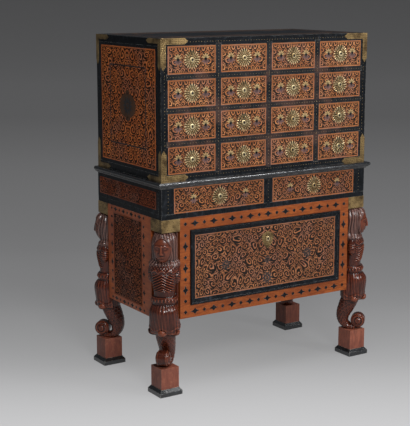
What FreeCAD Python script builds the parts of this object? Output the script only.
"""A cabinet of sixteen drawers on a carved stand with three drawers, in millimetres.

X runs to the right, Y to the back and Z up. The origin lies on the floor under the middle of the stand.
The cabinet is a carcass with an egg-crate of shelves and partitions. It rests on the moulded top of the
stand, whose corner posts are carved as half figures with a scaled tail that curls up on a foot block.
"""

import FreeCAD, Part
import math
import os
import Sketcher
from FreeCAD import Placement, Rotation, Vector

COLUMNS = 4
ROWS = 4
ROSETTE_PETALS = 10
SMALL_TAILS = 2
BASE_TAILS = 4

# Driving sizes, in millimetres
SIZES = {
    # cabinet carcass
    "cabinet_width": 976.0,
    "cabinet_depth": 502.0,
    "cabinet_height": 530.0,
    "cabinet_top_thickness": 28.0,
    "cabinet_bottom_thickness": 26.0,
    "cabinet_side_thickness": 30.0,
    "cabinet_back_thickness": 14.0,
    "shelf_thickness": 20.0,
    "partition_thickness": 24.0,
    "housing_depth": 6.0,
    "tongue_thickness": 10.0,
    "tongue_depth": 8.0,
    # running fit of every drawer
    "drawer_setback": 2.0,
    "drawer_side_gap": 0.8,
    "drawer_top_gap": 1.2,
    "drawer_floor_gap": 0.2,
    "drawer_rear_gap": 6.0,
    # drawer boards
    "drawer_front_thickness": 18.0,
    "drawer_side_thickness": 9.0,
    "drawer_back_thickness": 9.0,
    "drawer_bottom_thickness": 6.0,
    "drawer_bottom_rise": 4.0,
    "drawer_groove_depth": 4.0,
    "drawer_wall_drop": 7.0,
    "dovetail_length": 12.0,
    "dovetail_flare": 3.0,
    "base_front_thickness": 20.0,
    "base_side_thickness": 13.0,
    # locks and escutcheons
    "rosette_radius": 32.0,
    "rosette_disc_radius": 26.0,
    "rosette_petal_width": 13.0,
    "rosette_thickness": 1.4,
    "piercing_inner_radius": 14.0,
    "piercing_outer_radius": 23.0,
    "piercing_width": 5.0,
    "boss_radius": 10.0,
    "boss_height": 4.5,
    "boss_chamfer": 2.5,
    "keyhole_radius": 2.4,
    "keyhole_slot_width": 2.6,
    "keyhole_slot_length": 8.0,
    "shield_width": 56.0,
    "shield_shoulder_rise": 24.0,
    "shield_point_drop": 40.0,
    "shield_lobe_radius": 15.0,
    "shield_crest_radius": 17.0,
    "shield_side_radius": 62.0,
    "base_keyhole_drop": 76.0,
    "lock_case_width": 46.0,
    "lock_case_height": 34.0,
    "lock_case_thickness": 9.0,
    "bolt_width": 15.0,
    "bolt_thickness": 5.0,
    "bolt_top_inset": 1.0,
    # frieze of the stand
    "stand_margin": 2.0,
    "frieze_opening_height": 99.0,
    "frieze_stile_width": 55.0,
    "frieze_stile_thickness": 24.0,
    "frieze_muntin_width": 42.0,
    "frieze_web_thickness": 16.0,
    "frieze_guide_height": 22.0,
    "dust_board_thickness": 20.0,
    "stand_side_thickness": 20.0,
    "stand_back_thickness": 14.0,
    "stand_bottom_thickness": 16.0,
    # moulded top of the stand
    "ledge_thickness": 25.0,
    "ledge_projection": 21.0,
    "ledge_bead_radius": 8.0,
    "ledge_fillet_drop": 3.0,
    "ledge_fillet_setback": 6.0,
    "ledge_cove_setback": 5.0,
    "ledge_cove_radius": 8.0,
    # base case and its drawer
    "base_case_height": 394.0,
    "base_bottom_rail_height": 50.0,
    "base_stile_width": 45.0,
    "base_frame_thickness": 24.0,
    "rail_tenon_length": 20.0,
    "rail_tenon_thickness": 10.0,
    "rail_tenon_shoulder": 10.0,
    "base_guide_width": 22.0,
    "base_guide_height": 30.0,
    "base_moulding_width": 22.0,
    "base_moulding_bead": 8.0,
    "base_moulding_height": 9.0,
    "base_moulding_lip": 2.0,
    # corner posts and their figures
    "post_width": 80.0,
    "niche_step": 12.0,
    "strap_height": 48.0,
    "head_height": 98.0,
    "torso_height": 152.0,
    "belt_height": 24.0,
    "skirt_height": 114.0,
    "tail_height": 140.0,
    "niche_sink": 6.0,
    "figure_depth": 64.0,
    "shoulder_width": 118.0,
    "belt_width": 95.0,
    "hair_width": 94.0,
    "hair_depth": 54.0,
    "face_width": 64.0,
    "face_depth": 60.0,
    "face_height": 96.0,
    "face_forward": 16.0,
    "face_drop": 2.0,
    "nose_width": 10.0,
    "nose_height": 22.0,
    "arm_width": 28.0,
    "arm_depth": 32.0,
    "arm_length": 88.0,
    "arm_inset": 9.0,
    "arm_setback": 38.0,
    "arm_drop": 8.0,
    "skirt_width": 108.0,
    "skirt_depth": 104.0,
    "skirt_forward": 20.0,
    "skirt_knob_radius": 7.0,
    "tail_width": 80.0,
    "tail_reach": 106.0,
    "volute_radius": 30.0,
    "volute_width": 50.0,
    "volute_forward": 21.0,
    "volute_lift": 38.0,
    "volute_bevel": 7.0,
    "volute_eye_radius": 11.0,
    "volute_eye_height": 4.0,
    "foot_tenon_width": 22.0,
    "foot_tenon_length": 30.0,
    "foot_tenon_inset": 46.0,
    # feet
    "foot_setback": 25.0,
    "block_width": 78.0,
    "block_height": 82.0,
    "plinth_width": 98.0,
    "plinth_height": 28.0,
    "plinth_slope_height": 12.0,
    "plinth_slope_width": 9.0,
    # brass corner mounts
    "mount_thickness": 1.2,
    "mount_arm_length": 118.0,
    "mount_arm_width": 23.0,
    "mount_side_arm_length": 104.0,
    "mount_side_arm_width": 19.0,
    "mount_tip_length": 16.0,
    # every through cut runs past its faces by this much
    "overrun": 2.0,
}

# Torso from the belt to the neck: shares of its height, of the shoulder width and of the figure's depth
TORSO_SHARES = [
    (-0.04, 0.76, 0.97),
    (0.22, 0.74, 0.97),
    (0.50, 0.80, 1.07),
    (0.78, 0.92, 1.05),
    (0.93, 1.00, 0.92),
    (1.06, 0.50, 0.60),
]
# Belt from the skirt to the torso: shares of its height, its width and the figure's depth
BELT_SHARES = [(0.00, 1.00, 1.06), (0.50, 1.05, 1.12), (1.00, 1.00, 1.06)]
# Skirt from its hem to the belt: shares of its height, width, depth and forward reach
SKIRT_SHARES = [
    (0.00, 0.89, 0.85, 0.15),
    (0.31, 1.00, 0.95, 0.70),
    (0.70, 1.00, 0.92, 1.00),
    (1.04, 0.80, 0.70, -0.20),
]
# Hair from the shoulders to the crown: shares of the head's height, the hair's width and its depth
HAIR_SHARES = [
    (-0.16, 1.02, 0.68),
    (0.20, 1.00, 0.96),
    (0.55, 1.00, 1.00),
    (0.84, 0.84, 0.92),
    (1.04, 0.40, 0.55),
]
# Middle line of the tail, from under the skirt to the foot: shares of the tail's reach (inwards) and of its
# height, then its thickness as a share of the reach and its width as a share of the tail's width
TAIL_SHARES = [
    (0.36, 1.08, 0.70, 0.98),
    (0.47, 0.85, 0.68, 0.94),
    (0.60, 0.62, 0.62, 0.86),
    (0.69, 0.40, 0.52, 0.78),
    (0.65, 0.20, 0.40, 0.71),
    (0.48, 0.08, 0.28, 0.65),
    (0.20, 0.06, 0.20, 0.61),
]
KNOB_ANGLES = (0.0, 72.0, -72.0)
LOCK_DROP_SHARE = 0.5
DOVETAIL_SHARE = 0.30
SECTION_POINTS = 12
SECTION_SQUARENESS = 2.4
# Seams of the carved forms, counted in points from the front: behind, and no two of them in line
HAIR_SEAM, TORSO_SEAM, BELT_SEAM, SKIRT_SEAM, TAIL_SEAM = 6, 5, 7, 8, 4
ROOT = math.sqrt(2)

doc = FreeCAD.newDocument("cabinet_on_stand")
sheet = doc.addObject("Spreadsheet::Sheet", "Sizes")
for row, (alias, number) in enumerate(SIZES.items(), 1):
    sheet.set(f"A{row}", alias)
    sheet.set(f"B{row}", str(number))
    sheet.setAlias(f"B{row}", alias)
doc.recompute()


class Size:
    """A length made of cells of the sheet: the formula that binds it and its present value."""

    def __init__(self, formula, value):
        self.formula = formula
        self.value = value

    def __add__(self, other):
        return Size(f"({self.formula} + {size(other).formula})", self.value + size(other).value)

    def __radd__(self, other):
        return size(other) + self

    def __sub__(self, other):
        return Size(f"({self.formula} - {size(other).formula})", self.value - size(other).value)

    def __rsub__(self, other):
        return size(other) - self

    def __mul__(self, factor):
        return Size(f"{self.formula} * {factor}", self.value * factor)

    __rmul__ = __mul__

    def __truediv__(self, factor):
        return Size(f"{self.formula} / {factor}", self.value / factor)

    def __neg__(self):
        return Size(f"(0 - {self.formula})", -self.value)


def size(length):
    """A Size as it is, and a zero as a Size."""
    return length if isinstance(length, Size) else Size(str(length), float(length))


class Cells:
    """The sheet's cells by their aliases, each as a Size."""

    def __getattr__(self, alias):
        return Size(f"Sizes.{alias}", float(sheet.get(alias)))


S = Cells()
nodes = []


def bind(item, **lengths):
    """Ties properties of an object to formulas."""
    for name, length in lengths.items():
        item.setExpression(name, size(length).formula)
    return item


def place(item, x=0, y=0, z=0, turn=None):
    """Ties an object's place to formulas, after an optional fixed turn (axis, degrees)."""
    if turn:
        item.Placement = Placement(Vector(), Rotation(Vector(*turn[0]), turn[1]))
    for axis, length in zip("xyz", (x, y, z)):
        item.setExpression(f"Placement.Base.{axis}", size(length).formula)
    return item


def box(name, x, y, z):
    """A board between three pairs of limits."""
    item = doc.addObject("Part::Box", name)
    bind(item, Length=x[1] - x[0], Width=y[1] - y[0], Height=z[1] - z[0])
    return place(item, x[0], y[0], z[0])


def cylinder(name, radius, height, x=0, y=0, z=0, turn=None):
    item = bind(doc.addObject("Part::Cylinder", name), Radius=radius, Height=height)
    return place(item, x, y, z, turn)


def group(name, links):
    """Several objects as one, each still its own solid."""
    item = doc.addObject("Part::Compound", name)
    item.Links = links
    return item


def copy(name, master, x=0, y=0, z=0, turn=None):
    """The master at another place."""
    return place(group(name, [master]), x, y, z, turn)


def mirrored(name, source, normal):
    item = doc.addObject("Part::Mirroring", name)
    item.Source = source
    item.Normal = Vector(*normal)
    return item


def cut(name, base, *tools):
    item = doc.addObject("Part::Cut", name)
    item.Base = base
    item.Tool = tools[0] if len(tools) == 1 else group(f"{name}_tools", list(tools))
    return item


def fuse(name, *shapes):
    item = doc.addObject("Part::MultiFuse", name)
    item.Shapes = list(shapes)
    item.Refine = False
    return item


def fuse_in_turn(name, shapes):
    """Carved forms joined one after the other into one solid."""
    whole = shapes[0]
    for number, shape in enumerate(shapes[1:], 1):
        joined = doc.addObject("Part::Fuse", f"{name}_{number}")
        joined.Base = whole
        joined.Tool = shape
        whole = joined
    return whole


def node(item, label):
    """Marks an object as a sub-part with its own file."""
    item.Label = label
    nodes.append(item)
    return item


def outline(sketch, points):
    """A closed outline of (x, y) or (x, y, radius, side) corners. An arc starts at a corner with a radius,
    and its centre lies on the left of its chord where side is 1 and on the right where it is -1."""
    spots = [Vector(size(p[0]).value, size(p[1]).value, 0) for p in points]
    ends = []
    for number, (start, end) in enumerate(zip(spots, spots[1:] + spots[:1])):
        if len(points[number]) == 2:
            sketch.addGeometry(Part.LineSegment(start, end))
            ends.append((1, 2))
            continue
        radius, side = size(points[number][2]), points[number][3]
        chord = end - start
        rise = math.sqrt(max(radius.value**2 - chord.Length**2 / 4, 0))
        across = Vector(-chord.y, chord.x, 0).normalize()
        centre = start + chord / 2 + across * rise * side
        first, last = (start, end) if side > 0 else (end, start)
        angles = [math.atan2(p.y - centre.y, p.x - centre.x) for p in (first, last)]
        round_line = Part.Circle(centre, Vector(0, 0, 1), radius.value)
        geometry = sketch.addGeometry(Part.ArcOfCircle(round_line, *angles))
        ends.append((1, 2) if side > 0 else (2, 1))
        bound = sketch.addConstraint(Sketcher.Constraint("Radius", geometry, radius.value))
        sketch.setExpression(f"Constraints[{bound}]", radius.formula)
    for number in range(len(points)):
        after = (number + 1) % len(points)
        joined = Sketcher.Constraint("Coincident", number, ends[number][1], after, ends[after][0])
        sketch.addConstraint(joined)
        for kind, length in zip(("DistanceX", "DistanceY"), points[number][:2]):
            length = size(length)
            spot = Sketcher.Constraint(kind, -1, 1, number, ends[number][0], length.value)
            bound = sketch.addConstraint(spot)
            sketch.setExpression(f"Constraints[{bound}]", length.formula)
    return sketch


def free_sketch(name, points, turn=None):
    """An outline that stands alone, on XY before its turn."""
    sketch = outline(doc.addObject("Sketcher::SketchObject", name), points)
    if turn:
        sketch.Placement = Placement(Vector(), turn)
    return sketch


def prism(name, sketch, length):
    item = doc.addObject("Part::Extrusion", name)
    item.Base = sketch
    item.DirMode = "Normal"
    item.Solid = True
    return bind(item, LengthFwd=length)


def body_sketch(body, name, points=None, plane="XY_Plane"):
    """A sketch on a plane of its body, with an outline where points are given."""
    sketch = body.newObject("Sketcher::SketchObject", name)
    support = next(f for f in body.Origin.OriginFeatures if f.Role == plane)
    sketch.AttachmentSupport = [(support, "")]
    sketch.MapMode = "FlatFace"
    return outline(sketch, points) if points else sketch


def round_sketch(body, name, radius):
    """A circle about the body's middle."""
    sketch = body_sketch(body, name)
    sketch.addGeometry(Part.Circle(Vector(), Vector(0, 0, 1), radius.value))
    sketch.addConstraint(Sketcher.Constraint("Coincident", 0, 3, -1, 1))
    bound = sketch.addConstraint(Sketcher.Constraint("Radius", 0, radius.value))
    sketch.setExpression(f"Constraints[{bound}]", radius.formula)
    return sketch


def pad(body, sketch, length, name):
    feature = body.newObject("PartDesign::Pad", name)
    feature.Profile = sketch
    return bind(feature, Length=length)


def pocket(body, sketch, name):
    """A cut through everything above and below the sketch."""
    feature = body.newObject("PartDesign::Pocket", name)
    feature.Profile = sketch
    feature.Type = "ThroughAll"
    feature.Midplane = True
    return feature


def polar(body, feature, count, name):
    """The feature repeated about the body's Z axis."""
    pattern = body.newObject("PartDesign::PolarPattern", name)
    pattern.Originals = [feature]
    axis = next(f for f in body.Origin.OriginFeatures if f.Role == "Z_Axis")
    pattern.Axis = (axis, [""])
    pattern.Angle = 360
    pattern.Occurrences = count
    body.Tip = pattern
    return pattern


# Levels of the stand and the cabinet, from the floor up
block_top = S.plinth_height + S.block_height
hem_level = block_top + S.tail_height
waist_level = hem_level + S.skirt_height
torso_level = waist_level + S.belt_height
neck_level = torso_level + S.torso_height
crown_level = neck_level + S.head_height
case_top = crown_level + S.strap_height
case_bottom = case_top - S.base_case_height
dust_top = case_top + S.dust_board_thickness
frieze_top = dust_top + S.frieze_opening_height
ledge_top = frieze_top + S.ledge_thickness
carcass_floor = ledge_top + S.cabinet_bottom_thickness
cabinet_top = ledge_top + S.cabinet_height
carcass_ceiling = cabinet_top - S.cabinet_top_thickness

# Plan of the cabinet and of the stand below it
cabinet_right = S.cabinet_width / 2
cabinet_left = -cabinet_right
cabinet_rear = S.cabinet_depth / 2
cabinet_front = -cabinet_rear
stand_right = cabinet_right + S.stand_margin
stand_left = -stand_right
stand_rear = cabinet_rear + S.stand_margin
stand_front = -stand_rear
post_right = stand_right - S.post_width
post_left = -post_right
post_rear = stand_rear - S.post_width
post_front = -post_rear
niche_plane = -(S.post_width + S.niche_step) / ROOT

# Bays of the egg-crate
bay_width = (S.cabinet_width - 2 * S.cabinet_side_thickness - (COLUMNS - 1) * S.partition_thickness) / COLUMNS
bay_height = (carcass_ceiling - carcass_floor - (ROWS - 1) * S.shelf_thickness) / ROWS
inner_left = cabinet_left + S.cabinet_side_thickness
inner_right = -inner_left
carcass_back = cabinet_rear - S.cabinet_back_thickness


def bay_left(column):
    return inner_left + column * (bay_width + S.partition_thickness)


def bay_floor(level):
    return carcass_floor + level * (bay_height + S.shelf_thickness)


def make_dividers():
    """Shelves and partitions that half lap into each other and are housed in the carcass."""
    lap = (cabinet_front + carcass_back) / 2
    shelves, partitions, shelf_notches, partition_notches = [], [], [], []
    for level in range(1, ROWS):
        top = bay_floor(level)
        heights = (top - S.shelf_thickness, top)
        across = (inner_left - S.housing_depth, inner_right + S.housing_depth)
        shelves.append(box(f"shelf_{level}_board", across, (cabinet_front, carcass_back), heights))
        ahead = (cabinet_front - S.overrun, lap)
        partition_notches.append(box(f"partition_notch_{level}", across, ahead, heights))
    for column in range(1, COLUMNS):
        right = bay_left(column)
        across = (right - S.partition_thickness, right)
        heights = (carcass_floor - S.housing_depth, carcass_ceiling + S.housing_depth)
        partitions.append(box(f"partition_{column}_board", across, (cabinet_front, carcass_back), heights))
        behind = (lap, carcass_back + S.overrun)
        shelf_notches.append(box(f"shelf_notch_{column}", across, behind, heights))
    pieces = [cut(f"shelf_{i}", b, *shelf_notches) for i, b in enumerate(shelves, 1)]
    pieces += [cut(f"partition_{i}", b, *partition_notches) for i, b in enumerate(partitions, 1)]
    node(group("dividers", pieces), "drawer_dividers")
    return shelves, partitions


def make_carcass():
    """Top, bottom, sides and back of the cabinet, with tongues in grooves and housings for the dividers."""
    shelves, partitions = make_dividers()
    depth = (cabinet_front, cabinet_rear)
    sides = []
    for name, outer, inner in (("left", cabinet_left, inner_left), ("right", inner_right, cabinet_right)):
        board = box(f"side_{name}_board", (outer, inner), depth, (carcass_floor, carcass_ceiling))
        middle = (outer + inner) / 2
        breadth = (middle - S.tongue_thickness / 2, middle + S.tongue_thickness / 2)
        tall = (carcass_floor - S.tongue_depth, carcass_ceiling + S.tongue_depth)
        tongue = box(f"side_{name}_tongue", breadth, depth, tall)
        side = cut(f"side_{name}", fuse(f"side_{name}_blank", board, tongue), *shelves)
        sides.append(node(side, f"cabinet_side_{name}"))
    width = (cabinet_left, cabinet_right)
    levels = {"top": (carcass_ceiling, cabinet_top), "bottom": (ledge_top, carcass_floor)}
    for name, heights in levels.items():
        board = box(f"{name}_board", width, depth, heights)
        node(cut(f"carcass_{name}", board, *sides, *partitions), f"cabinet_{name}")
    back_heights = (carcass_floor, carcass_ceiling)
    back = box("back", (inner_left, inner_right), (carcass_back, cabinet_rear), back_heights)
    node(back, "cabinet_back")


def make_lock_tools(name, drop, tall, front):
    """Lock case and bolt let into the back of a drawer front, and the keyhole through it. The keyhole lies at
    the origin of the front's face, and the front's top edge is drop above it."""
    half = S.lock_case_width / 2
    back = (front - S.lock_case_thickness, front)
    case_heights = (0 - tall * LOCK_DROP_SHARE, tall - tall * LOCK_DROP_SHARE)
    case = box(f"{name}_case", (-half, half), back, case_heights)
    bolt_back = (front - S.lock_case_thickness, front - S.lock_case_thickness + S.bolt_thickness)
    bolt_heights = (case_heights[1], drop - S.bolt_top_inset)
    bolt_half = S.bolt_width / 2
    bolt = box(f"{name}_bolt", (-bolt_half, bolt_half), bolt_back, bolt_heights)
    slot = box(f"{name}_bolt_slot", (-bolt_half, bolt_half), bolt_back, (case_heights[1], drop + S.overrun))
    shank_turn = ((1, 0, 0), -90)
    shank_length = front - S.lock_case_thickness + S.overrun
    shank = cylinder(f"{name}_shank", S.keyhole_radius, shank_length, 0, -S.overrun, 0, shank_turn)
    slot_half = S.keyhole_slot_width / 2
    bit_depth = (-S.overrun, front - S.lock_case_thickness)
    bit = box(f"{name}_bit", (-slot_half, slot_half), bit_depth, (-S.keyhole_slot_length, size(0)))
    return case, bolt, [case, slot, fuse(f"{name}_keyhole", shank, bit)]


def make_drawer(name, width, height, depth, front, wall, tails, lock_height, keyhole_drop):
    """A dovetailed drawer whose front's lower edge has its middle at the origin. The front is left square at
    its ends outside, with lapped tails behind. Its bottom is held in grooves."""
    half = width / 2
    wall_top = height - S.drawer_wall_drop
    inner = half - wall
    board = box(f"{name}_front_board", (-half, half), (size(0), front), (size(0), height))
    rear = (depth - S.drawer_back_thickness, depth)
    floor_heights = (S.drawer_bottom_rise, S.drawer_bottom_rise + S.drawer_bottom_thickness)
    reach = inner + S.drawer_groove_depth
    bottom = box(f"{name}_bottom", (-reach, reach), (front - S.drawer_groove_depth, depth), floor_heights)
    back = box(f"{name}_back", (-reach, reach), rear, (floor_heights[1], wall_top))
    sides = []
    pitch = wall_top / tails
    for side, outer in (("left", -half), ("right", inner)):
        wall_board = box(f"{name}_{side}_board", (outer, outer + wall), (front, depth), (size(0), wall_top))
        pieces = [wall_board]
        for number in range(tails):
            tail = doc.addObject("Part::Wedge", f"{name}_{side}_tail_{number}")
            root = pitch * DOVETAIL_SHARE
            middle = pitch * (number + 0.5)
            bind(tail, Xmin=0, Xmax=wall, X2min=0, X2max=wall, Ymin=0, Ymax=S.dovetail_length)
            bind(tail, Zmin=-root, Zmax=root)
            bind(tail, Z2min=-root - S.dovetail_flare, Z2max=root + S.dovetail_flare)
            place(tail, outer + wall, front, middle, ((0, 0, 1), 180))
            pieces.append(tail)
        blank = fuse(f"{name}_wall_{side}_blank", *pieces)
        sides.append(cut(f"{name}_wall_{side}", blank, bottom, back))
    case, bolt, lock_cuts = make_lock_tools(f"{name}_lock", keyhole_drop, lock_height, front)
    raised = copy(f"{name}_lock_cuts", group(f"{name}_lock_tools", lock_cuts), 0, 0, height - keyhole_drop)
    face = cut(f"{name}_front", board, *sides, bottom, raised)
    return [face, *sides, back, bottom], group(f"{name}_lock_works", [case, bolt])


def make_rosette():
    """Pierced round escutcheon with pointed petals and a raised boss, face up on XY."""
    body = doc.addObject("PartDesign::Body", "rosette")
    pad(body, round_sketch(body, "disc_line", S.rosette_disc_radius), S.rosette_thickness, "disc")
    half = S.rosette_petal_width / 2
    root = S.boss_radius
    shoulder = S.rosette_disc_radius - S.rosette_thickness
    petal_line = [(root, -half), (shoulder, -half), (S.rosette_radius, 0), (shoulder, half), (root, half)]
    petal = pad(body, body_sketch(body, "petal_line", petal_line), S.rosette_thickness, "petal")
    polar(body, petal, ROSETTE_PETALS, "petals")
    slit = S.piercing_width / 2
    middle = (S.piercing_inner_radius + S.piercing_outer_radius) / 2
    kite = [(S.piercing_inner_radius, 0), (middle, -slit), (S.piercing_outer_radius, 0), (middle, slit)]
    hole = pocket(body, body_sketch(body, "piercing_line", kite), "piercing")
    polar(body, hole, ROSETTE_PETALS, "piercings")
    add_boss(body)
    return body


def add_boss(body):
    """Chamfered boss with a keyhole, about the body's origin."""
    boss = pad(body, round_sketch(body, "boss_line", S.boss_radius), S.boss_height, "boss")
    doc.recompute()
    top = S.boss_height.value
    rims = []
    for number, edge in enumerate(boss.Shape.Edges, 1):
        gap = abs(edge.BoundBox.ZMin - top) + abs(edge.BoundBox.ZMax - top)
        if len(edge.Vertexes) == 1 and gap < S.boss_chamfer.value:
            rims.append(f"Edge{number}")
    bevel = body.newObject("PartDesign::Chamfer", "boss_bevel")
    bevel.Base = (boss, rims)
    bind(bevel, Size=S.boss_chamfer)
    half = S.keyhole_slot_width / 2
    low = -S.keyhole_slot_length
    pocket(body, round_sketch(body, "keyhole_eye_line", S.keyhole_radius), "keyhole_eye")
    slot = [(-half, low), (half, low), (half, 0), (-half, 0)]
    pocket(body, body_sketch(body, "keyhole_slot_line", slot), "keyhole_slot")


def make_shield():
    """Shield-shaped escutcheon with three lobes above and a point below, face up on XY."""
    body = doc.addObject("PartDesign::Body", "shield")
    half = S.shield_width / 2
    lobe = S.shield_lobe_radius
    shoulder = S.shield_shoulder_rise
    notch = half - lobe
    line = [
        (0, -S.shield_point_drop, S.shield_side_radius, 1),
        (half, shoulder - lobe, lobe, 1),
        (notch, shoulder, S.shield_crest_radius, 1),
        (-notch, shoulder, lobe, 1),
        (-half, shoulder - lobe, S.shield_side_radius, 1),
    ]
    pad(body, body_sketch(body, "shield_line", line), S.rosette_thickness, "plate")
    add_boss(body)
    return body


# FACE_TURN stands a piece made on XY upright, face to the front. RUN_TURN turns a section to run along X.
FACE_TURN = ((1, 0, 0), 90)
RUN_TURN = Rotation(Vector(1, 1, 1), 120)


def small_drawers():
    """The sixteen drawers of the cabinet, row 1 at the top and column 1 on the left."""
    width = bay_width - 2 * S.drawer_side_gap
    height = bay_height - S.drawer_top_gap - S.drawer_floor_gap
    depth = carcass_back - S.drawer_rear_gap - cabinet_front - S.drawer_setback
    half = height / 2
    parts, works = make_drawer(
        "drawer", width, height, depth, S.drawer_front_thickness, S.drawer_side_thickness,
        SMALL_TAILS, S.lock_case_height, half,
    )
    plate = copy("rosette_upright", rosette, 0, 0, 0, FACE_TURN)
    face = cabinet_front + S.drawer_setback
    for row in range(1, ROWS + 1):
        for column in range(1, COLUMNS + 1):
            x = bay_left(column - 1) + bay_width / 2
            z = bay_floor(ROWS - row) + S.drawer_floor_gap
            name = f"r{row}_c{column}"
            node(place(group(f"box_{name}", parts), x, face, z), f"drawer_{name}")
            node(place(group(f"set_{name}", [plate, works]), x, face, z + half), f"lockset_{name}")


def frieze_drawers():
    """Two drawers side by side under the moulded top of the stand."""
    bay = stand_right - S.frieze_stile_width - S.frieze_muntin_width / 2
    width = bay - 2 * S.drawer_side_gap
    height = S.frieze_opening_height - S.drawer_top_gap - S.drawer_floor_gap
    face = stand_front + S.drawer_setback
    depth = stand_rear - S.stand_back_thickness - S.drawer_rear_gap - face
    half = height / 2
    parts, works = make_drawer(
        "frieze_drawer", width, height, depth, S.drawer_front_thickness, S.drawer_side_thickness,
        SMALL_TAILS, S.lock_case_height, half,
    )
    plate = copy("frieze_rosette_upright", rosette, 0, 0, 0, FACE_TURN)
    shift = S.frieze_muntin_width / 2 + bay / 2
    z = dust_top + S.drawer_floor_gap
    for side, x in (("left", -shift), ("right", shift)):
        node(place(group(f"frieze_box_{side}", parts), x, face, z), f"frieze_drawer_{side}")
        node(place(group(f"frieze_set_{side}", [plate, works]), x, face, z + half), f"frieze_lockset_{side}")


def base_drawer():
    """The deep drawer of the stand, with a raised moulding mitred round its front."""
    opening_floor = case_bottom + S.base_bottom_rail_height
    height = crown_level - opening_floor - S.drawer_top_gap - S.drawer_floor_gap
    width = 2 * (post_right - S.base_stile_width - S.drawer_side_gap)
    face = stand_front + S.drawer_setback
    depth = stand_rear - S.stand_back_thickness - S.drawer_rear_gap - face
    parts, works = make_drawer(
        "base_drawer", width, height, depth, S.base_front_thickness, S.base_side_thickness,
        BASE_TAILS, S.lock_case_height, S.base_keyhole_drop,
    )
    z = opening_floor + S.drawer_floor_gap
    node(place(group("base_box", parts), 0, face, z), "base_drawer")
    plate = copy("shield_upright", make_shield(), 0, 0, 0, FACE_TURN)
    key_level = z + height - S.base_keyhole_drop
    node(place(group("base_set", [plate, works]), 0, face, key_level), "base_lockset")
    make_base_moulding(width, height, face, z)


def make_base_moulding(width, height, face, floor):
    """Four mitred lengths of raised moulding on the front of the base drawer: a round bead outside, then a
    slope down to a thin lip."""
    deep = S.base_moulding_height
    bead = S.base_moulding_bead
    radius = bead / 2
    wide = S.base_moulding_width
    profile = [
        (0, 0),
        (wide, 0),
        (wide, S.base_moulding_lip),
        (bead, deep - radius, radius, 1),
        (radius, deep, radius, 1),
        (0, deep - radius),
    ]
    half_width = width / 2
    half_height = height / 2
    strips = []
    for name, length, other, turn in (
        ("bottom", width, half_height, 0),
        ("right", height, half_width, 90),
        ("top", width, half_height, 180),
        ("left", height, half_width, 270),
    ):
        sketch = free_sketch(f"moulding_{name}_section", profile, RUN_TURN)
        run = prism(f"moulding_{name}_run", sketch, length)
        end = length / 2
        start = place(group(f"moulding_{name}_start", [run]), -end, -other, 0)
        plan = [(-end, -other), (end, -other), (end - wide, wide - other), (wide - end, wide - other)]
        limits = prism(f"moulding_{name}_limits", free_sketch(f"moulding_{name}_plan", plan), deep)
        strip = doc.addObject("Part::Common", f"moulding_{name}")
        strip.Base = start
        strip.Tool = limits
        turned = group(f"moulding_{name}_turned", [strip])
        turned.Placement = Placement(Vector(), Rotation(Vector(0, 0, 1), turn))
        strips.append(turned)
    frame = group("moulding_frame", strips)
    node(place(frame, 0, face, floor + half_height, FACE_TURN), "base_drawer_moulding")


def make_stand_top():
    """Board that carries the cabinet, with a beaded moulding mitred round its front and sides."""
    board = box("ledge_board", (stand_left, stand_right), (stand_front, stand_rear), (frieze_top, ledge_top))
    out = S.ledge_projection - S.stand_margin
    bead = S.ledge_bead_radius
    under_bead = S.ledge_thickness - 2 * bead
    fillet = out - S.ledge_fillet_setback
    cove = under_bead - S.ledge_fillet_drop
    profile = [
        (0, 0),
        (S.ledge_cove_setback, 0, S.ledge_cove_radius, -1),
        (fillet, cove),
        (fillet, under_bead),
        (out - bead, under_bead, bead, 1),
        (out, under_bead + bead, bead, 1),
        (out - bead, S.ledge_thickness),
        (0, S.ledge_thickness),
    ]
    front_length = stand_right - stand_left + 2 * out
    side_length = stand_rear - stand_front + out
    pieces = [board]
    front_run = prism("ledge_front_run", free_sketch("ledge_front_section", profile, RUN_TURN), front_length)
    front_start = group("ledge_front_start", [front_run])
    front = place(front_start, stand_right + out, stand_front, frieze_top, ((0, 0, 1), 180))
    keep = [
        (stand_left - out, stand_front - out),
        (stand_right + out, stand_front - out),
        (stand_right, stand_front),
        (stand_left, stand_front),
    ]
    pieces.append(mitre("ledge_front", front, keep))
    for side, x, edge, turn in (("left", stand_left, -out, 90), ("right", stand_right, out, -90)):
        run = prism(f"ledge_{side}_run", free_sketch(f"ledge_{side}_section", profile, RUN_TURN), side_length)
        y = stand_front - out if side == "left" else stand_rear
        strip = place(group(f"ledge_{side}_start", [run]), x, y, frieze_top, ((0, 0, 1), turn))
        keep = [(x, stand_front), (x + edge, stand_front - out), (x + edge, stand_rear), (x, stand_rear)]
        pieces.append(mitre(f"ledge_{side}", strip, keep))
    node(group("ledge", pieces), "stand_top")


def mitre(name, strip, plan):
    """What a strip of the ledge keeps inside its mitred plan."""
    limits = prism(f"{name}_limits", free_sketch(f"{name}_plan", plan), S.ledge_thickness)
    raised = place(group(f"{name}_raised", [limits]), 0, 0, frieze_top)
    item = doc.addObject("Part::Common", name)
    item.Base = strip
    item.Tool = raised
    return item


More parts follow.
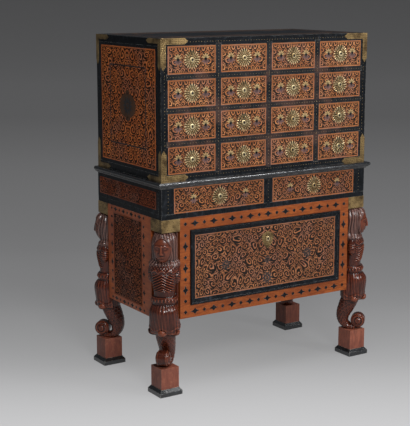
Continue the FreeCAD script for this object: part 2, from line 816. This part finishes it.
def make_frieze():
    """Front stiles, muntin and guides between the dust board and the stand's top."""
    heights = (dust_top, frieze_top)
    front = (stand_front, stand_front + S.frieze_stile_thickness)
    rear = stand_rear - S.stand_back_thickness
    inner = stand_left + S.frieze_stile_width
    half = S.frieze_muntin_width / 2
    web = S.frieze_web_thickness / 2
    guide_heights = (dust_top, dust_top + S.frieze_guide_height)
    behind = (front[1], rear)
    wall = stand_left + S.stand_side_thickness
    muntin = fuse(
        "muntin",
        box("muntin_face", (-half, half), front, heights),
        box("muntin_web", (-web, web), behind, heights),
    )
    web_guides = [
        box("web_guide_left", (-half, -web), behind, guide_heights),
        box("web_guide_right", (web, half), behind, guide_heights),
    ]
    pieces = [
        box("frieze_stile_left", (stand_left, inner), front, heights),
        box("frieze_stile_right", (-inner, stand_right), front, heights),
        muntin,
        box("frieze_guide_left", (wall, inner), behind, guide_heights),
        box("frieze_guide_right", (-inner, -wall), behind, guide_heights),
        *web_guides,
    ]
    node(group("frieze", pieces), "frieze_frame")


def make_stand_case():
    """Dust board, sides, back, front frame and bottom of the stand."""
    width = (stand_left, stand_right)
    rear_inner = stand_rear - S.stand_back_thickness
    frame_back = stand_front + S.base_frame_thickness
    wall_left = stand_left + S.stand_side_thickness
    case_heights = (case_bottom, case_top)
    frieze_heights = (dust_top, frieze_top)
    node(box("dust", width, (stand_front, stand_rear), (case_top, dust_top)), "dust_board")
    stile_back = stand_front + S.frieze_stile_thickness
    for side, outer, inner in (("left", stand_left, wall_left), ("right", -wall_left, stand_right)):
        frieze_side = box(f"frieze_side_{side}", (outer, inner), (stile_back, stand_rear), frieze_heights)
        base_side = box(f"base_side_{side}", (outer, inner), (post_front, post_rear), case_heights)
        middle = (outer + inner) / 2
        thick = (middle - S.rail_tenon_thickness / 2, middle + S.rail_tenon_thickness / 2)
        long = (post_front - S.rail_tenon_length, post_rear + S.rail_tenon_length)
        tenon = box(f"base_side_tenon_{side}", thick, long, tenon_heights())
        pieces = [frieze_side, fuse(f"base_side_whole_{side}", base_side, tenon)]
        node(group(f"stand_side_{side}_boards", pieces), f"stand_side_{side}")
    frieze_back = box("frieze_back", (wall_left, -wall_left), (rear_inner, stand_rear), frieze_heights)
    base_back = box("base_back", (post_left, post_right), (rear_inner, stand_rear), case_heights)
    node(group("stand_back_boards", [frieze_back, base_back]), "stand_back")
    make_base_frame(frame_back)
    floor_level = case_bottom + S.base_bottom_rail_height
    floor_heights = (floor_level - S.stand_bottom_thickness, floor_level)
    floor = box("base_floor_board", (wall_left, -wall_left), (frame_back, rear_inner), floor_heights)
    corners = []
    for name, x in (("left", (stand_left, post_left)), ("right", (post_right, stand_right))):
        for end, y in (("front", (stand_front, post_front)), ("rear", (post_rear, stand_rear))):
            corners.append(box(f"floor_corner_{end}_{name}", x, y, floor_heights))
    opening = post_right - S.base_stile_width
    guide_heights = (floor_level, floor_level + S.base_guide_height)
    run = (frame_back, rear_inner)
    guide_left = box("base_guide_left", (-opening - S.base_guide_width, -opening), run, guide_heights)
    guide_right = box("base_guide_right", (opening, opening + S.base_guide_width), run, guide_heights)
    floor_piece = cut("base_floor", floor, *corners)
    node(group("base_floor_group", [floor_piece, guide_left, guide_right]), "stand_bottom")


def tenon_heights():
    return (crown_level + S.rail_tenon_shoulder, case_top - S.rail_tenon_shoulder)


def make_base_frame(frame_back):
    """Rails and stiles round the base drawer. The top rail is tenoned into the posts."""
    front = (stand_front, frame_back)
    across = (post_left, post_right)
    middle = (stand_front + frame_back) / 2
    thick = (middle - S.rail_tenon_thickness / 2, middle + S.rail_tenon_thickness / 2)
    long = (post_left - S.rail_tenon_length, post_right + S.rail_tenon_length)
    rail = box("top_rail_board", across, front, (crown_level, case_top))
    tenon = box("top_rail_tenon", long, thick, tenon_heights())
    floor_level = case_bottom + S.base_bottom_rail_height
    opening = post_right - S.base_stile_width
    stile_heights = (floor_level, crown_level)
    pieces = [
        fuse("top_rail", rail, tenon),
        box("bottom_rail", across, front, (case_bottom, floor_level)),
        box("base_stile_left", (post_left, -opening), front, stile_heights),
        box("base_stile_right", (opening, post_right), front, stile_heights),
    ]
    node(group("base_front", pieces), "base_frame")


def section(centre, along, half_depth, half_width, seam):
    """A closed rounded section square to a direction in the leg's middle plane, begun at the seam's point."""
    out = Vector(along.z, 0, -along.x)
    across = Vector(0, 1, 0)
    points = []
    for step in range(SECTION_POINTS):
        angle = 2 * math.pi * (step + seam) / SECTION_POINTS
        c, s = math.cos(angle), math.sin(angle)
        a = math.copysign(abs(c) ** (2 / SECTION_SQUARENESS), c) * half_depth
        b = math.copysign(abs(s) ** (2 / SECTION_SQUARENESS), s) * half_width
        points.append(centre + out * a + across * b)
    curve = Part.BSplineCurve()
    curve.interpolate(Points=points, PeriodicFlag=True)
    return Part.Wire(curve.toShape())


def loft(name, sections):
    """A solid through closed sections."""
    item = doc.addObject("Part::Feature", name)
    item.Shape = Part.makeLoft(sections, True, False)
    return item


def upright(rows, seam):
    """Level sections of (height, front, depth, width), stacked upwards."""
    up = Vector(0, 0, 1)
    return [section(Vector(f - d / 2, 0, h), up, d / 2, w / 2, seam) for h, f, d, w in rows]


def figure_rows(level, height, shares, width, depth):
    """Level sections of a carved form that is sunk into the niche, from its shares."""
    rows = []
    for up, wide, deep in shares:
        front = niche_plane.value + depth.value * deep
        whole = depth.value * deep + S.niche_sink.value
        rows.append((level.value + height.value * up, front, whole, width.value * wide))
    return rows


def skirt_rows():
    """Level sections of the skirt, which swells out below the case."""
    rows = []
    for up, wide, deep, ahead in SKIRT_SHARES:
        height = hem_level.value + S.skirt_height.value * up
        front = S.skirt_forward.value * ahead
        rows.append((height, front, S.skirt_depth.value * deep, S.skirt_width.value * wide))
    return rows


def tail_sections():
    """Sections square to the middle line of the tail, which bends in under the case and out on the block."""
    middles = []
    for inward, up, thick, wide in TAIL_SHARES:
        middles.append(Vector(-S.tail_reach.value * inward, 0, block_top.value + S.tail_height.value * up))
    sections = []
    for number, (inward, up, thick, wide) in enumerate(TAIL_SHARES):
        before = middles[max(number - 1, 0)]
        after = middles[min(number + 1, len(middles) - 1)]
        along = (after - before).normalize()
        half_depth = S.tail_reach.value * thick / 2
        half_width = S.tail_width.value * wide / 2
        sections.append(section(middles[number], along, half_depth, half_width, TAIL_SEAM))
    return sections


def ellipsoid(name, x, y, z, deep, wide, tall):
    """An ellipsoid about a point, from its whole depth, width and height."""
    item = bind(doc.addObject("Part::Ellipsoid", name), Radius1=tall / 2, Radius2=deep / 2, Radius3=wide / 2)
    return place(item, x, y, z)


def make_volute():
    """The rolled end of the tail: a barrel with bevelled ends and a round eye on each side."""
    radius, bevel, eye = S.volute_radius, S.volute_bevel, S.volute_eye_radius
    end = S.volute_width / 2
    tip = end + S.volute_eye_height
    profile = [
        (0, -tip),
        (eye, -tip),
        (eye, -end),
        (radius - bevel, -end),
        (radius, bevel - end),
        (radius, end - bevel),
        (radius - bevel, end),
        (eye, end),
        (eye, tip),
        (0, tip),
    ]
    roll = doc.addObject("Part::Revolution", "volute_roll")
    roll.Source = free_sketch("volute_profile", profile)
    roll.Axis = Vector(0, 1, 0)
    roll.Solid = True
    return copy("volute", roll, S.volute_forward - radius, 0, block_top + S.volute_lift)


def make_head():
    """Long hair down to the shoulders, with the face in front of it."""
    hair_rows = figure_rows(neck_level, S.head_height, HAIR_SHARES, S.hair_width, S.hair_depth)
    hair = loft("hair", upright(hair_rows, HAIR_SEAM))
    face_x = S.face_forward - S.face_depth / 2
    face_z = crown_level - S.face_height / 2 - S.face_drop
    face = ellipsoid("face", face_x, 0, face_z, S.face_depth, S.face_width, S.face_height)
    nose = ellipsoid("nose", S.face_forward, 0, face_z, S.nose_width, S.nose_width, S.nose_height)
    return [hair, face, nose]


def make_figure():
    """Torso with folded arms, belt and skirt."""
    torso_rows = figure_rows(torso_level, S.torso_height, TORSO_SHARES, S.shoulder_width, S.figure_depth)
    belt_rows = figure_rows(waist_level, S.belt_height, BELT_SHARES, S.belt_width, S.figure_depth)
    pieces = [
        loft("torso", upright(torso_rows, TORSO_SEAM)),
        loft("belt", upright(belt_rows, BELT_SEAM)),
        loft("skirt", upright(skirt_rows(), SKIRT_SEAM)),
    ]
    arm_z = neck_level - S.arm_drop - S.arm_length / 2
    for name, side in (("left", 1), ("right", -1)):
        y = side * (S.shoulder_width / 2 - S.arm_inset)
        arm = ellipsoid(f"arm_{name}", -S.arm_setback, y, arm_z, S.arm_depth, S.arm_width, S.arm_length)
        pieces.append(arm)
    height, front, deep, wide = skirt_rows()[0]
    for number, angle in enumerate(KNOB_ANGLES):
        knob = bind(doc.addObject("Part::Sphere", f"knob_{number}"), Radius=S.skirt_knob_radius)
        turn = math.radians(angle)
        setback = deep / 2 * (1 - math.cos(turn))
        knob.Placement.Base = Vector(front - setback, wide / 2 * math.sin(turn), height)
        pieces.append(knob)
    return pieces


def make_core():
    """The core of a corner post behind its niche, with the corner's edge at zero."""
    flank = (S.post_width - S.niche_step) / ROOT
    plan = [(-S.post_width * ROOT, 0), (niche_plane, -flank), (niche_plane, flank)]
    core = prism("post_core", free_sketch("post_core_plan", plan), crown_level - case_bottom)
    return place(group("post_core_raised", [core]), 0, 0, case_bottom)


def make_post_head(name, boards):
    """Square head of a corner post with a mortise for each (thickness, runs along X) board."""
    square = (size(0), S.post_width)
    blank = box(f"{name}_head_blank", square, square, (size(0), S.strap_height))
    long = (S.post_width - S.rail_tenon_length, S.post_width + S.overrun)
    heights = (S.rail_tenon_shoulder, S.strap_height - S.rail_tenon_shoulder)
    mortises = []
    for number, (board, runs_along_x) in enumerate(boards):
        thick = ((board - S.rail_tenon_thickness) / 2, (board + S.rail_tenon_thickness) / 2)
        x, y = (long, thick) if runs_along_x else (thick, long)
        mortises.append(box(f"{name}_mortise_{number}", x, y, heights))
    head = cut(f"{name}_head", blank, *mortises)
    return copy(f"{name}_head_raised", head, 0, 0, crown_level, ((0, 0, 1), 135))


def make_legs():
    """Four carved legs, one at each corner of the case, each seated with a tenon in its foot block."""
    reach = S.tail_reach * 2
    under = (S.plinth_height, block_top)
    seat = box("tail_seat", (-reach, reach), (-reach, reach), under)
    tail = cut("tail", loft("tail_curl", tail_sections()), seat)
    half = S.foot_tenon_width / 2
    tenon_x = (-S.foot_tenon_inset - half, half - S.foot_tenon_inset)
    tenon_z = (block_top - S.foot_tenon_length, block_top + half)
    tenon = box("foot_tenon", tenon_x, (-half, half), tenon_z)
    carving = fuse_in_turn("carving", [make_core(), *make_head(), *make_figure(), tail, make_volute(), tenon])
    plinth = make_plinth()
    blocks, plinths = [], []
    half_block = S.block_width / 2
    rail, side = S.base_frame_thickness, S.stand_side_thickness
    for name, x_side, y_side, angle, boards in (
        ("front_left", -1, -1, 225, [(rail, True), (side, False)]),
        ("front_right", 1, -1, 315, [(rail, False), (side, True)]),
        ("back_right", 1, 1, 45, [(side, False)]),
        ("back_left", -1, 1, 135, [(side, True)]),
    ):
        x, y = x_side * stand_right, y_side * stand_rear
        turn = ((0, 0, 1), angle)
        leg = fuse_in_turn(f"{name}_leg", [carving, make_post_head(name, boards)])
        node(copy(f"{name}_post", leg, x, y, 0, turn), f"leg_{name}")
        foot_x, foot_y = x - x_side * S.foot_setback, y - y_side * S.foot_setback
        across = (foot_x - half_block, foot_x + half_block)
        along = (foot_y - half_block, foot_y + half_block)
        block = box(f"{name}_block_blank", across, along, under)
        blocks.append(cut(f"{name}_block", block, copy(f"{name}_tenon", tenon, x, y, 0, turn)))
        plinths.append(copy(f"{name}_plinth", plinth, foot_x, foot_y))
    node(group("blocks", blocks), "foot_blocks")
    node(group("plinths", plinths), "foot_plinths")


def make_plinth():
    """Square plinth with a sloped upper edge."""
    half = S.plinth_width / 2
    top = half - S.plinth_slope_width
    waist = S.plinth_height - S.plinth_slope_height
    slab = box("plinth_slab", (-half, half), (-half, half), (size(0), waist))
    slope = doc.addObject("Part::Wedge", "plinth_slope")
    bind(slope, Xmin=-half, Xmax=half, Zmin=-half, Zmax=half, Ymin=0, Ymax=S.plinth_slope_height)
    bind(slope, X2min=-top, X2max=top, Z2min=-top, Z2max=top)
    place(slope, 0, 0, waist, ((1, 0, 0), 90))
    return fuse("plinth", slab, slope)


def arm_outline(edge, top, length, width, drop):
    """An L along a corner's top and upright edges, with a pointed end on each arm."""
    tip = S.mount_tip_length
    return [
        (edge, top),
        (edge + length - tip, top),
        (edge + length, top - width / 2),
        (edge + length - tip, top - width),
        (edge + width, top - width),
        (edge + width, top - drop + tip),
        (edge + width / 2, top - drop),
        (edge, top - drop + tip),
    ]


def make_mounts():
    """Brass brackets folded round the cabinet's corners and plain straps round the heads of the posts."""
    thick = S.mount_thickness
    top = S.cabinet_height / 2
    drop = S.mount_arm_length
    wrap = cabinet_left - thick
    front_line = arm_outline(wrap, top, S.mount_arm_length + thick, S.mount_arm_width, drop)
    front_sketch = free_sketch("bracket_front", front_line, Rotation(Vector(1, 0, 0), 90))
    front_plate = prism("bracket_front_plate", front_sketch, thick)
    side_line = arm_outline(cabinet_front, top, S.mount_side_arm_length, S.mount_side_arm_width, drop)
    side_plate = prism("bracket_side_plate", free_sketch("bracket_side", side_line, RUN_TURN), thick)
    front_placed = copy("bracket_front_placed", front_plate, 0, cabinet_front, 0)
    side_placed = copy("bracket_side_placed", side_plate, wrap, 0, 0)
    bracket = fuse("bracket", front_placed, side_placed)
    strap_z = (crown_level, case_top)
    out_x, out_y = stand_left - thick, stand_front - thick
    strap_front = box("strap_front", (out_x, post_left), (out_y, stand_front), strap_z)
    strap_side = box("strap_side", (out_x, stand_left), (stand_front, post_front), strap_z)
    strap = fuse("strap", strap_front, strap_side)
    lower = mirrored("bracket_lower", bracket, (0, 0, 1))
    left = place(group("brackets_left", [bracket, lower]), 0, 0, ledge_top + top)
    front = [left, strap]
    front.append(mirrored("mounts_front_right", group("mounts_front_left", [left, strap]), (1, 0, 0)))
    back = mirrored("mounts_back", group("mounts_front", front), (0, 1, 0))
    node(group("mounts", front + [back]), "corner_mounts")


make_carcass()
rosette = make_rosette()
small_drawers()
frieze_drawers()
base_drawer()
make_stand_top()
make_frieze()
make_stand_case()
make_legs()
make_mounts()
doc.recompute()

for item in doc.Objects:
    if "Invalid" in item.State or "Error" in item.State:
        raise RuntimeError(f"{item.Name} did not build: {item.State}")
os.makedirs("parts", exist_ok=True)
for item in nodes:
    if item.Shape.isNull() or not item.Shape.isValid():
        raise RuntimeError(f"{item.Label} has no valid shape")
    item.Shape.exportStep(f"parts/{item.Label}.step")
